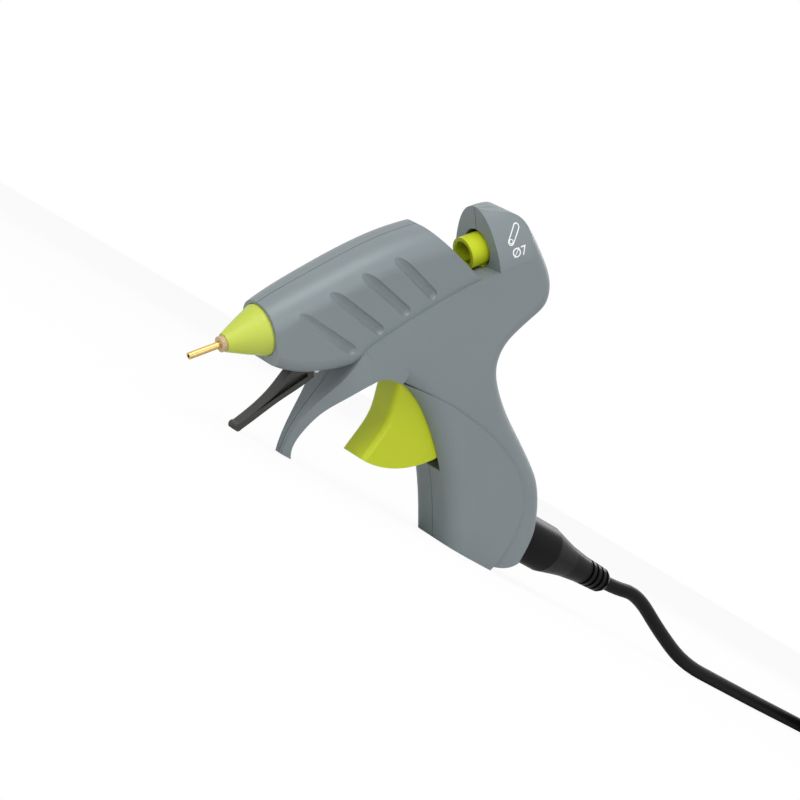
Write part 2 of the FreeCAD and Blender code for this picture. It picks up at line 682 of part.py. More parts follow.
for n, side in enumerate((-1, 1)):
    near = heater_z + side * mm.heater_thickness / 2
    far = near + side * mm.electrode_thickness
    level = (min(near, far), max(near, far))
    tab = (1.2, 4.2) if side > 0 else (-4.2, -1.2)
    electrodes.append(fuse(f"electrode_{n}",
                           block(f"electrode_plate_{n}", heater_x, (-heater_half, heater_half), level),
                           block(f"electrode_tab_{n}", (heater_x[1] - 1, 66.4), tab, level)))
pair = doc.addObject("Part::Compound", "electrode_pair")
pair.Links = electrodes
keep("heater_electrodes", pair)
film_x = (heater_x[0] - 1.5, heater_x[1] + 2.0)
keep("heater_insulation", cut(
    "film_form",
    block("film_outside", film_x, (-5.25, 5.25), (heater_z - stack / 2, heater_z + stack / 2)),
    block("film_inside", (film_x[0] - 1, film_x[1] + 1), (-5.1, 5.1),
          (heater_z - stack / 2 + mm.film_thickness, heater_z + stack / 2 - mm.film_thickness)),
))
terminals = []
for n, side in enumerate((-1, 1)):
    level = heater_z + side * (mm.heater_thickness + mm.electrode_thickness) / 2
    middle = side * 2.7
    half_tab = mm.electrode_thickness / 2
    terminals.append(cut(
        f"terminal_{n}",
        block(f"terminal_body_{n}", (62.8, 68.0), (middle - 2.0, middle + 2.0), (level - 0.75, level + 0.75)),
        block(f"terminal_slot_{n}", (62.0, 66.6), (middle - 1.5, middle + 1.5),
              (level - half_tab, level + half_tab)),
    ))
pair = doc.addObject("Part::Compound", "terminal_pair")
pair.Links = terminals
keep("crimp_terminals", pair)
turned("chamber_seal", [
    ("28.3", "chamber_diameter / 2 + running_gap"),
    ("28.3", "7.85"),
    ("31.4", "7.85"),
    ("31.4", "chamber_diameter / 2 + running_gap"),
])
sleeve_front = "nose_front + 1.8 + chamber_length + 0.1"
turned("feed_sleeve", [
    (sleeve_front, "spigot_diameter / 2 + running_gap"),
    (sleeve_front, "chamber_diameter / 2"),
    (f"{sleeve_front} + sleeve_length", "chamber_diameter / 2"),
    (f"{sleeve_front} + sleeve_length", "sleeve_bore / 2 + 0.8"),
    (f"{sleeve_front} + sleeve_length - 2", "sleeve_bore / 2"),
    (f"{sleeve_front} + spigot_length", "sleeve_bore / 2"),
    (f"{sleeve_front} + spigot_length", "spigot_diameter / 2 + running_gap"),
])
for label in ("chamber_seal", "feed_sleeve"):
    keep(label, doc.getObject(label))
clamp_inner = "chamber_diameter / 2 + running_gap"
clamp_ear = fuse("clamp_ears",
                 rod("clamp_outside", (72.4, 0, 0), f"{clamp_inner} + clamp_band", "2.4"),
                 block("clamp_ear", (72.4, 74.8), (-1.2, 1.2), (6.0, 9.4)))
keep("sleeve_clamp", cut("clamp_form", clamp_ear,
                         rod("clamp_inside", (71.0, 0, 0), clamp_inner, "5.0"),
                         block("clamp_split", (71.0, 76.0), (-0.4, 0.4), (5.0, 10.0))))

# ---------------------------------------------------------------------------------------------------
# Feed carriage, gripper lever and link
# ---------------------------------------------------------------------------------------------------
grip_pivot = (mm.gripper_x, -mm.gripper_drop)
trigger_end = (84.5, -12.5)
lever_end = (109.5, -16.6)
LINK_Y = (1.5, 1.5 + mm.link_thickness)
LUG_Y = (1.5, 3.3)
ring_end = mm.ring_front + mm.ring_length

lugs = both_sides("lug", *LUG_Y, lambda label, low, high: polygon(
    label, [(107.0, -4.6), (107.0, -11.0), (108.8, -12.8), (112.2, -12.8), (114.0, -11.0), (116.0, -4.6)],
    low, high))
wings = both_sides("wing", 3.2, 8.8,
                   lambda label, low, high: block(label, (104.0, 116.0), (low, high), (-9.6, -8.1)))
ring_body = fuse("ring_body", rod("ring_outside", (mm.ring_front, 0, 0), "ring_diameter / 2", "ring_length"),
                 *lugs, *wings)
keep("feed_carriage", cut(
    "carriage_form", ring_body,
    rod("ring_inside", (mm.ring_front - 1, 0, 0), "ring_bore / 2", "ring_length + 2"),
    block("tooth_slot", (104.4, 112.0), (-1.9, 1.9), (-9.0, -3.0)),
    across("gripper_bore", *grip_pivot, "link_pin_diameter / 2 + running_gap", 4.0),
))
tooth = polygon("tooth", [(112.3, -9.2), (108.6, -5.4), (106.4, -4.2), (105.9, -4.3), (106.6, -6.2),
                          (108.6, -10.4)], -mm.gripper_thickness / 2, mm.gripper_thickness / 2)
keep("gripper_lever", cut(
    "lever_form",
    fuse("lever_body",
         bar("lever_bar", grip_pivot, lever_end, 2.1, 2.2, -mm.gripper_thickness / 2,
             mm.gripper_thickness / 2), tooth),
    across("lever_bore", *grip_pivot, "link_pin_diameter / 2 + running_gap", 3.0),
    across("lever_open_bore", *lever_end, "link_pin_diameter / 2 + open_pivot_gap", 3.0),
))
keep("gripper_pin", across("gripper_pin", *grip_pivot, "link_pin_diameter / 2", 3.4))
bars = both_sides("link_bar", *LINK_Y,
                  lambda label, low, high: bar(label, trigger_end, lever_end, 2.1, 2.0, low, high))
bridge_x = 97.0
bridge_z = trigger_end[1] + (lever_end[1] - trigger_end[1]) * (bridge_x - trigger_end[0]) / 25.0
link_body = fuse("link_body", *bars, block("link_bridge", (bridge_x - 1.5, bridge_x + 1.5), (-1.6, 1.6),
                                           (bridge_z - 1.9, bridge_z - 0.3)))
keep("link", cut("link_form", link_body,
                 across("link_front_bore", *trigger_end, "link_pin_diameter / 2 + running_gap", 4.0),
                 across("link_rear_bore", *lever_end, "link_pin_diameter / 2 + running_gap", 4.0)))
keep("trigger_link_pin", across("trigger_link_pin", *trigger_end, "link_pin_diameter / 2", 5.7))
keep("lever_link_pin", across("lever_link_pin", *lever_end, "link_pin_diameter / 2", 3.2))

# ---------------------------------------------------------------------------------------------------
# Trigger, its pin and its return spring
# ---------------------------------------------------------------------------------------------------


def about_pivot(radius, degrees):
    """The side-view point at that radius and angle about the trigger's pivot."""
    turn = math.radians(degrees)
    return (pivot[0] + radius * math.cos(turn), pivot[1] + radius * math.sin(turn))


def arc_about_pivot(radius, start, end):
    ends = [V(x, 0, z) for x, z in (about_pivot(radius, angle) for angle in (start, (start + end) / 2, end))]
    return Part.Arc(*ends).toShape()


toe = about_pivot(mm.trigger_radius, 225.6)
trigger_heel = about_pivot(mm.trigger_radius, 279.6)
finger = [(72.4, -27.5), (70.8, -31.0), (69.0, -35.6), (67.2, -40.0), (65.2, -44.0), (61.8, -47.8),
          (57.6, -51.2), toe]
finger_plate = slab("finger_plate", [smooth(finger), arc_about_pivot(mm.trigger_radius, 225.6, 279.6),
                                     *straight(trigger_heel, (84.6, -50.0), (83.2, -30.0), finger[0])],
                    -mm.trigger_half_width, mm.trigger_half_width)
finger_soft = rounded("finger_soft", finger_plate, 2.0,
                      lambda edge: runs_along(edge, mm.trigger_half_width, 50.0, 73.0) and edge.Length > 30)
arms = both_sides("arm", 3.4, 5.6,
                  lambda label, low, high: bar(label, pivot, trigger_end, 4.6, 2.4, low, high))
trigger_body = fuse("trigger_body", finger_soft, *arms, across("hub", *pivot, "hub_radius", 6.0))
inside_heel = about_pivot(mm.trigger_radius - 2.7, 275.4)
inside_toe = about_pivot(mm.trigger_radius - 2.7, 237.0)
pocket_edges = [
    smooth([(74.9, -31.0), (72.9, -35.8), (70.6, -41.2), (68.4, -45.6), (65.2, -50.0), inside_toe]),
    arc_about_pivot(mm.trigger_radius - 2.7, 237.0, 275.4),
    *straight(inside_heel, (82.0, -44.0), (92.0, -44.0), (92.0, -20.0), (74.4, -20.0), (74.9, -31.0)),
]
keep("trigger", cut(
    "trigger_form", trigger_body,
    slab("trigger_pocket", pocket_edges, -3.4, 3.4),
    across("trigger_hub_bore", *pivot, "trigger_pin_diameter / 2 + running_gap", 7.0),
    across("trigger_link_bore", *trigger_end, "link_pin_diameter / 2 + running_gap", 7.0),
))
keep("trigger_pin", across("trigger_pin", *pivot, "trigger_pin_diameter / 2", 9.5))

coil_height = (mm.spring_turns - 3) * (mm.spring_wire + 0.1)
return_coil = wire_coil("return_coil", (pivot[0], -coil_height / 2, pivot[1]), "Y", mm.spring_radius,
                        mm.spring_wire, mm.spring_wire + 0.1, mm.spring_turns - 3)
coil_side = V(pivot[0] + mm.spring_radius, 0, pivot[1])


def tail(label, start, end):
    """A straight run of the return spring's wire."""
    run = V(*end) - V(*start)
    return rod(label, start, "spring_wire / 2", f"{run.Length}", run)


keep("return_spring", fuse(
    "return_spring_form", return_coil,
    tail("front_tail", (coil_side.x, -coil_height / 2, coil_side.z + 0.3), (74.3, -coil_height / 2, -36.0)),
    tail("rear_tail", (coil_side.x, coil_height / 2, coil_side.z - 0.2), (93.2, coil_height / 2, -27.5)),
))

# ---------------------------------------------------------------------------------------------------
# Stand leg
# ---------------------------------------------------------------------------------------------------
FOOT_RADIUS = 1.3
foot_x = mm.stand_foot_x + 0.3
foot = (foot_x, -mm.base_drop + (FOOT_RADIUS + (mm.base_front_x - foot_x) * math.sin(rest)) / math.cos(rest))
leg_outline = [
    smooth([(11.9, -27.9), (17.0, -26.2), (22.5, -24.0), (28.0, -20.9), (33.3, -16.9), (36.4, -15.0)]),
    *straight((36.4, -15.0), (41.6, -15.0), (41.6, -21.4)),
    smooth([(41.6, -21.4), (35.0, -23.4), (28.7, -24.9), (19.9, -27.6), (13.6, -29.5)]),
    *straight((13.6, -29.5), (11.9, -27.9)),
]
half_leg = mm.stand_thickness / 2
leg_solid = fuse("leg_solid", slab("leg_plate", leg_outline, -half_leg, half_leg),
                 across("leg_hub", *stand_pivot, "2.6", half_leg),
                 across("leg_foot", *foot, f"{FOOT_RADIUS}", half_leg))
window = [(19.4, -25.6), (27.0, -23.6), (39.4, -20.4), (39.4, -19.2), (33.8, -18.6), (27.0, -22.6)]
leg_pockets = both_sides("leg_pocket", mm.stand_web / 2, half_leg + 1,
                         lambda label, low, high: polygon(label, window, low, high))
keep("stand_leg", cut("leg_form", leg_solid, *leg_pockets,
                      across("leg_bore", *stand_pivot, "stand_pin_diameter / 2 + running_gap", half_leg + 1)))
keep("stand_pin", across("stand_pin", *stand_pivot, "stand_pin_diameter / 2", 8.5))

# ---------------------------------------------------------------------------------------------------
# Screws, leads and the cable clamp
# ---------------------------------------------------------------------------------------------------


def screw(label, x, z, head_y, radius, head_radius, head_height, length):
    """A pan-head screw along Y, its head's underside at head_y, with a cross recess."""
    head = rod(f"{label}_head", (x, head_y, z), head_radius, f"{head_height}", "Y")
    shaft = rod(f"{label}_shaft", (x, head_y - length, z), radius, f"{length + 0.2}", "Y")
    arms = []
    for index, (long_x, long_z) in enumerate(((1.5, 0.35), (0.35, 1.5))):
        arms.append(block(f"{label}_recess_{index}", (x - long_x, x + long_x),
                          (head_y + head_height - 1.0, head_y + head_height + 1.0), (z - long_z, z + long_z)))
    return cut(label, fuse(f"{label}_blank", head, shaft), *arms)


fasteners = doc.addObject("Part::Compound", "housing_screw_set")
fasteners.Links = [screw(f"housing_screw_{n}", x, z, under_head, "screw_diameter / 2",
                         "screw_head_diameter / 2", mm.screw_head_height, mm.screw_length)
                   for n, (x, z) in enumerate(SCREW_PLACES)]
keep("housing_screws", fasteners)

CLAMP_BACK = 4.2
keep("cable_clamp", cut(
    "cable_clamp_form",
    block("clamp_bar", (14.0, 18.0), (0.6, CLAMP_BACK), (mm.cord_height - 7, mm.cord_height + 7)),
    rod("clamp_saddle", (13.0, 0, mm.cord_height), "cord_diameter / 2", "6.0"),
    *[rod(f"bar_bore_{n}", (16.0, 0.0, mm.cord_height + offset), "1.1", "6.0", "Y")
      for n, offset in enumerate((-4.9, 4.9))],
), "table")
fasteners = doc.addObject("Part::Compound", "clamp_screw_set")
fasteners.Links = [screw(f"clamp_screw_{n}", 16.0, mm.cord_height + offset, CLAMP_BACK,
                         "1.05", "1.95", 1.4, 11.0)
                   for n, offset in enumerate((-4.9, 4.9))]
keep("clamp_screws", fasteners, "table")


def tube(label, points, radius):
    """Straight runs joined by tangent arcs, each as large as its two runs allow. Prints the radii."""
    corners = [V(*point) for point in points]
    edges = []
    radii = []
    at = corners[0]
    for before, corner, after in zip(corners, corners[1:], corners[2:]):
        into = (corner - before).normalize()
        out = (after - corner).normalize()
        shorter = min(corner.distanceToPoint(before), corner.distanceToPoint(after))
        turn = into.getAngle(out)
        arc = 0.45 * shorter / math.tan(turn / 2)
        radii.append(arc)
        inward = (out - into).normalize()
        middle = corner + inward * (arc / math.cos(turn / 2) - arc)
        start = corner - into * 0.45 * shorter
        end = corner + out * 0.45 * shorter
        edges.append(Part.LineSegment(at, start).toShape())
        edges.append(Part.Arc(start, middle, end).toShape())
        at = end
    edges.append(Part.LineSegment(at, corners[-1]).toShape())
    path = Part.Wire(edges)
    section = Part.Wire(Part.makeCircle(radius, corners[0], corners[1] - corners[0]))
    thing = doc.addObject("Part::Feature", label)
    thing.Shape = path.makePipeShell([section], True, True)
    swept = math.pi * radius ** 2 * path.Length
    print(f"{label}: length {path.Length:.1f}, volume/section x length {thing.Shape.Volume / swept:.4f},",
          f"radii {[round(value, 1) for value in radii]}")
    return thing


TAIL_START = 12.0
cord_start = from_table(TAIL_START, mm.cord_height)
before_cord = (cord_start[0] - 5 * math.cos(rest), cord_start[1] + 5 * math.sin(rest))
LEAD_ROUTE = [(75.2, 7.3, -13.4), (82.0, 8.2, -18.0), (90.0, 8.2, -21.5),
              (97.0, 8.2, -27.0), (101.4, 8.2, -40.0), (103.0, 8.2, -55.0), (105.2, 8.2, -70.0),
              (105.6, 7.0, -81.0), (100.4, 3.6, -88.0)]
for name, side in (("lead_brown", 1), ("lead_blue", -1)):
    level = heater_z + side * (mm.heater_thickness + mm.electrode_thickness) / 2
    ends = [(68.0, side * 2.7, level), (71.6, side * 2.7, level)]
    ends += [(x, side * y, z) for x, y, z in LEAD_ROUTE]
    ends += [(before_cord[0], side * 1.1, before_cord[1]), (cord_start[0], side * 1.1, cord_start[1])]
    keep(name, tube(name, ends, mm.lead_diameter / 2))

# ---------------------------------------------------------------------------------------------------
# Strain relief, cord, hank, tie and plug, drawn in the table frame
# ---------------------------------------------------------------------------------------------------
EXIT_X = 84.0
cord_radius = "cord_diameter / 2"
neck = "relief_neck_diameter / 2"
root = "relief_root_diameter / 2"
flex = []
for n in range(4):
    ridge = 71.6 + 3.0 * n
    flex += [(f"{ridge}", f"{4.95 - 0.12 * n}"), (f"{ridge}", "3.7"), (f"{ridge + 1.4}", "3.7"),
             (f"{ridge + 1.4}", f"{4.85 - 0.12 * n}")]
relief = turned("strain_relief", [
    ("24.4", cord_radius),
    ("24.4", "6.4"),
    ("heel_reach - 2.7", "6.4"),
    ("heel_reach - 2.7", neck),
    ("heel_reach + 0.1", neck),
    ("heel_reach + 0.1", root),
    ("49.0", root),
    ("57.0", "6.75"),
    ("61.5", "5.9"),
    ("70.4", "4.95"),
    *flex,
    ("heel_reach + relief_length", "relief_tip_diameter / 2"),
    ("heel_reach + relief_length", cord_radius),
])
relief.Placement.Base = V(0, 0, mm.cord_height)
keep("strain_relief", relief, "table")
keep("cord_tail", rod("cord_tail", (TAIL_START, 0, mm.cord_height), cord_radius, f"{EXIT_X - TAIL_START}"),
     "table")

floor = mm.cord_diameter / 2 + 0.2
layer = floor + 0.6
CORD_ROUTE = [
    (EXIT_X, 0.0, mm.cord_height),
    (91.0, 0.0, mm.cord_height),
    (104.0, 0.2, 17.0),
    (126.0, 1.0, 9.0),
    (149.0, 2.4, floor),
    (176.0, 4.6, floor),
    (204.0, 7.2, floor),
    (230.0, 8.4, floor + 0.3),
    (256.0, 8.4, layer),
]
keep("cord", tube("cord", CORD_ROUTE, mm.cord_diameter / 2), "table")

HANK_FOLDS = ((254.5, -12.0), (304.5, -12.0))
HANK_BOTTOM = 0.8
TIE_THICKNESS = 0.75
fold_radius = 3.5 * mm.cord_diameter
half_bundle = mm.cord_diameter
hank_top = HANK_BOTTOM + 3 * mm.cord_diameter
hank_ring = cut(
    "hank_ring",
    bar("hank_outside", *HANK_FOLDS, *[fold_radius + half_bundle] * 2, -hank_top, -HANK_BOTTOM, TO_PLAN),
    bar("hank_inside", *HANK_FOLDS, *[fold_radius - half_bundle] * 2, -hank_top - 1, 0, TO_PLAN),
)


def lies_level(edge):
    return abs(edge.Vertexes[0].Point.z - edge.Vertexes[-1].Point.z) < 0.01


keep("cord_hank", rounded("hank_soft", hank_ring, 2.2, lies_level), "table")

tie_x = sum(x for x, y in HANK_FOLDS) / 2
tie_y = HANK_FOLDS[0][1] - fold_radius
around = half_bundle + 0.05
beyond = around + TIE_THICKNESS
keep("cord_tie", cut(
    "cord_tie_form",
    block("tie_outside", (tie_x - 2.5, tie_x + 2.5), (tie_y - beyond, tie_y + beyond),
          (HANK_BOTTOM - TIE_THICKNESS, hank_top + TIE_THICKNESS)),
    block("tie_inside", (tie_x - 3.0, tie_x + 3.0), (tie_y - around, tie_y + around), (HANK_BOTTOM, hank_top)),
), "table")

PLUG_THICKNESS = 13.7
PIN_SPACING = 18.6
PLUG_LENGTH = 31.0
ROOT_LENGTH = 7.0
plug_end = 270.0
plug_back = plug_end + ROOT_LENGTH
plug_front = plug_back + PLUG_LENGTH
plug_y = -4.2
plug_z = hank_top + PLUG_THICKNESS / 2
PLUG_PLAN = [(0.0, 7.5), (3.0, 7.5), (20.0, 17.2), (28.0, 17.2), (PLUG_LENGTH, 15.5)]
plan = [(plug_back + along, plug_y + wide) for along, wide in PLUG_PLAN]
plan += [(plug_back + along, plug_y - wide) for along, wide in reversed(PLUG_PLAN)]
plug_plate = slab("plug_plate", straight(*plan, plan[0]), -hank_top - PLUG_THICKNESS, -hank_top, TO_PLAN)
plug_soft = rounded("plug_soft", plug_plate, 2.5, lies_level)
plug_root = rod("plug_root", (plug_end, plug_y, plug_z), "4.6", f"{ROOT_LENGTH + 2}")
keep("plug_body", fuse("plug_form", plug_soft, plug_root), "table")
pins = []
for n, side in enumerate((-1, 1)):
    pins.append(rod(f"plug_pin_{n}", (plug_front, plug_y + side * PIN_SPACING / 2, plug_z), "2.0", "19.0"))
pin_pair = doc.addObject("Part::Compound", "plug_pin_pair")
pin_pair.Links = pins
keep("plug_pins", pin_pair, "table")

# ---------------------------------------------------------------------------------------------------
# Placing, checking and writing
# ---------------------------------------------------------------------------------------------------
CORD_NODES = {"strain_relief", "cord_tail", "cord", "cord_hank", "cord_tie", "plug_body", "plug_pins"}
TO_TABLE = {"gun": TABLE_IN_GUN.inverse(), "table": FreeCAD.Placement()}

doc.recompute()
for thing, frame in pieces.values():
    thing.Placement = TO_TABLE[frame].multiply(thing.Placement)
doc.recompute()
box = FreeCAD.BoundBox()
for name, (thing, frame) in pieces.items():
    if name not in CORD_NODES:
        box.add(thing.Shape.optimalBoundingBox())
to_row = FreeCAD.Placement(V(-box.Center.x, -box.Center.y, 0), FreeCAD.Rotation())
for thing, frame in pieces.values():
    thing.Placement = to_row.multiply(thing.Placement)
doc.recompute()
print(f"gun: {box.XLength:.1f} x {box.YLength:.1f} x {box.ZLength:.1f} mm, lowest {box.ZMin:.3f},",
      f"middle {box.Center.x:.3f}, {box.Center.y:.3f}")

for thing in doc.Objects:
    if {"Invalid", "Error"} & set(thing.State):
        raise SystemExit(f"{thing.Label} failed: {thing.State}")
os.makedirs("parts", exist_ok=True)
for name, (thing, frame) in pieces.items():
    shape = thing.Shape
    if shape.isNull() or not shape.isValid() or not shape.Solids:
        raise SystemExit(f"{name} has no valid solid")
    shape.exportStep(f"parts/{name}.step")
print(f"{len(pieces)} sub-parts written")
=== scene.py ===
import math

import bmesh
import bpy
from mathutils import Matrix, Vector
from mathutils.bvhtree import BVHTree


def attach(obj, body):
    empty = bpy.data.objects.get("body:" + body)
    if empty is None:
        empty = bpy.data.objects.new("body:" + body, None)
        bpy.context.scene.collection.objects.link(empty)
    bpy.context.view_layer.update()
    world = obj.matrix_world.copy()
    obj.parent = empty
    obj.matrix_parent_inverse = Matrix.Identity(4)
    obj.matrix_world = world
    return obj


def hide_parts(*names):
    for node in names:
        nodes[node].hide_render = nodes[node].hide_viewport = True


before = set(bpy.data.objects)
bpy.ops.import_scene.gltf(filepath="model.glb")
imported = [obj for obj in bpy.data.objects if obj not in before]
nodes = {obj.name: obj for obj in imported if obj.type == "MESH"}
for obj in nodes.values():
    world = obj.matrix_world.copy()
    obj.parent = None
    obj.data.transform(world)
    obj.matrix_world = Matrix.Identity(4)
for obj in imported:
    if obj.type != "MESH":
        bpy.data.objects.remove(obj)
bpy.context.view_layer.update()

# ---------------------------------------------------------------------------------------------------
# Camera, room and light.
# A long lens looks at the gun's left side from in front, level with the table and rolled, so that the
# barrel lies nearly flat. The floor is pale, and four large soft lamps hang round it.
# ---------------------------------------------------------------------------------------------------
lens = bpy.data.cameras.new("lens")
lens.lens = 112.15
lens.sensor_width = 36.0
lens.clip_end = 20.0
camera = bpy.data.objects.new("camera", lens)
aim = Vector((0.0049, 0.0, 0.0337))
azimuth = math.radians(-42.26)
roll = math.radians(30.6)
distance = 0.8
away = Vector((math.sin(azimuth), -math.cos(azimuth), 0.0))
level = Vector((math.cos(azimuth), math.sin(azimuth), 0.0))
upright = Vector((0.0, 0.0, 1.0))
across = level * math.cos(roll) + upright * math.sin(roll)
above = upright * math.cos(roll) - level * math.sin(roll)
spot = aim + away * distance
camera.matrix_world = Matrix((
    (across.x, above.x, away.x, spot.x),
    (across.y, above.y, away.y, spot.y),
    (across.z, above.z, away.z, spot.z),
    (0.0, 0.0, 0.0, 1.0),
))
bpy.context.scene.collection.objects.link(camera)
bpy.context.scene.camera = camera
bpy.context.scene.view_settings.view_transform = "Standard"

room = bpy.data.worlds.new("room")
bpy.context.scene.world = room
room.use_nodes = True
air = room.node_tree.nodes
wiring = room.node_tree.links
air.clear()
seen = air.new("ShaderNodeLightPath")
either = air.new("ShaderNodeMath")
either.operation = "MAXIMUM"
wiring.new(seen.outputs["Is Camera Ray"], either.inputs[0])
wiring.new(seen.outputs["Is Transmission Ray"], either.inputs[1])
any_of_three = air.new("ShaderNodeMath")
any_of_three.operation = "MAXIMUM"
wiring.new(either.outputs[0], any_of_three.inputs[0])
wiring.new(seen.outputs["Is Glossy Ray"], any_of_three.inputs[1])
ambient = air.new("ShaderNodeBackground")
ambient.inputs["Color"].default_value = (0.93, 0.96, 1.0, 1.0)
ambient.inputs["Strength"].default_value = 0.42
white = air.new("ShaderNodeBackground")
white.inputs["Color"].default_value = (1.0, 1.0, 1.0, 1.0)
white.inputs["Strength"].default_value = 1.0
choice = air.new("ShaderNodeMixShader")
wiring.new(any_of_three.outputs[0], choice.inputs[0])
wiring.new(ambient.outputs[0], choice.inputs[1])
wiring.new(white.outputs[0], choice.inputs[2])
sky = air.new("ShaderNodeOutputWorld")
wiring.new(choice.outputs[0], sky.inputs[0])


def hang_lamp(name, place, target, size, power):
    """A square soft lamp that faces a point on the gun."""
    light = bpy.data.lights.new(name, "AREA")
    light.size = size
    light.energy = power
    lamp = bpy.data.objects.new(name, light)
    lamp.location = place
    lamp.rotation_euler = (Vector(target) - Vector(place)).to_track_quat("-Z", "Y").to_euler()
    bpy.context.scene.collection.objects.link(lamp)


hang_lamp("key_lamp", (-0.75, -0.35, 1.05), (0.0, 0.0, 0.05), 0.7, 9.0)
hang_lamp("fill_lamp", (-0.2, -1.25, 0.35), (0.0, 0.0, 0.05), 0.9, 5.0)
hang_lamp("back_lamp", (0.75, 0.45, 0.75), (0.0, 0.0, 0.05), 0.6, 4.0)
hang_lamp("front_lamp", (-1.15, -0.25, 0.28), (0.0, 0.0, 0.04), 0.6, 3.5)

floor_mesh = bmesh.new()
bmesh.ops.create_grid(floor_mesh, x_segments=1, y_segments=1, size=4.0)
floor = bpy.data.objects.new("floor", bpy.data.meshes.new("floor"))
floor_mesh.to_mesh(floor.data)
floor_mesh.free()
bpy.context.scene.collection.objects.link(floor)
paper = bpy.data.materials.new("paper")
paper.use_nodes = True
sheet = paper.node_tree.nodes
pulp = sheet["Principled BSDF"]
pulp.inputs["Base Color"].default_value = (0.82, 0.82, 0.82, 1.0)
pulp.inputs["Roughness"].default_value = 0.9
glow = sheet.new("ShaderNodeEmission")
path = sheet.new("ShaderNodeLightPath")
share = sheet.new("ShaderNodeMath")
share.operation = "MULTIPLY"
share.inputs[1].default_value = 0.92
blend_floor = sheet.new("ShaderNodeMixShader")
join = paper.node_tree.links
join.new(path.outputs["Is Camera Ray"], share.inputs[0])
join.new(share.outputs[0], blend_floor.inputs[0])
join.new(pulp.outputs[0], blend_floor.inputs[1])
join.new(glow.outputs[0], blend_floor.inputs[2])
join.new(blend_floor.outputs[0], sheet["Material Output"].inputs["Surface"])
floor.data.materials.append(paper)

# ---------------------------------------------------------------------------------------------------
# Mains cord.
# Round two-core rubber lead, 5.1 mm thick. It leaves the strain relief, drops to the table and runs
# away; the spare length is folded into a hank of six turns, two wide and three high, under the plug.
# ---------------------------------------------------------------------------------------------------
CORD = 0.0051
GUN_MIDDLE = 0.048766
EXIT_HEIGHT = 0.0148
FOLDS = (0.2545, 0.3045)
HANK_Y = -0.012
HANK_LIFT = 0.00335
OUTER, INNER = 0.0204, 0.0153
FOLD_ARC, FOLD_RUN = 0.0561, 0.0500
TURNS = 6
LAST_TURN = TURNS - 1
FOLD_STEP = 30
slots = [(OUTER, 0), (INNER, 0), (INNER, 1), (OUTER, 1), (OUTER, 2), (INNER, 2), (INNER, 3.15)]
cord_route = [(0.080, 0.0, EXIT_HEIGHT), (0.091, 0.0, EXIT_HEIGHT), (0.104, 0.0002, 0.0170),
              (0.126, 0.001, 0.009), (0.149, 0.0024, 0.00275), (0.176, 0.0046, 0.00275),
              (0.204, 0.0072, 0.00275), (0.230, 0.0084, 0.00305), (0.256, 0.0084, 0.00335)]


def hank_point(turn, gone, middle, degrees):
    """A point of one turn, that far past its first fold: it stays in its slot, then moves to the next.

    A fold's control points stand FOLD_STEP degrees apart, outside the arc that the cord follows."""
    whole = 2 * FOLD_ARC + FOLD_RUN
    ease = min(max(gone / whole * TURNS - (LAST_TURN - turn), 0.0), 1.0)
    ease = ease * ease * (3.0 - 2.0 * ease)
    (radius, layer), (next_radius, next_layer) = slots[turn], slots[turn + 1]
    radius += (next_radius - radius) * ease
    layer += (next_layer - layer) * ease
    angle = math.radians(degrees)
    if degrees == -90:
        return (middle, HANK_Y - radius, HANK_LIFT + CORD * layer)
    reach = radius / math.cos(math.radians(FOLD_STEP / 2))
    return (middle + reach * math.cos(angle), HANK_Y + reach * math.sin(angle), HANK_LIFT + CORD * layer)


for turn in range(TURNS):
    for degrees in range(105, -106, -FOLD_STEP):
        if turn < LAST_TURN or degrees > -90:
            cord_route.append(hank_point(turn, (90 - degrees) / 180 * FOLD_ARC, FOLDS[1], degrees))
    if turn < LAST_TURN:
        for back in (0.010, 0.020, 0.030, 0.040):
            cord_route.append(hank_point(turn, FOLD_ARC + back, FOLDS[1] - back, -90))
        for degrees in range(-75, -286, -FOLD_STEP):
            gone = FOLD_ARC + FOLD_RUN + (-90 - degrees) / 180 * FOLD_ARC
            cord_route.append(hank_point(turn, gone, FOLDS[0], degrees))
cord_route += [(0.2960, -0.0276, 0.0194), (0.2870, -0.0285, 0.0196), (0.2740, -0.0308, 0.0196),
               (0.2591, -0.0324, 0.0198), (0.2509, -0.0324, 0.0202), (0.2438, -0.0283, 0.0207),
               (0.2397, -0.0212, 0.0212), (0.2397, -0.0130, 0.0217), (0.2438, -0.0059, 0.0222),
               (0.2509, -0.0018, 0.0226), (0.2591, -0.0018, 0.0229), (0.2650, -0.0036, 0.02295),
               (0.2700, -0.0042, 0.02295), (0.2735, -0.0042, 0.02295)]
cord_curve = bpy.data.curves.new("cord_line", "CURVE")
cord_curve.dimensions = "3D"
line = cord_curve.splines.new("NURBS")
line.points.add(len(cord_route) - 1)
for point, (x, y, z) in zip(line.points, cord_route):
    point.co = (x + GUN_MIDDLE, y, z, 1.0)
line.order_u = 3
line.use_endpoint_u = True
line.resolution_u = 6
cord_curve.bevel_depth = CORD / 2
cord_curve.bevel_resolution = 5
cord_curve.use_fill_caps = True
cord = bpy.data.objects.new("cord_lead", cord_curve)
bpy.context.scene.collection.objects.link(cord)


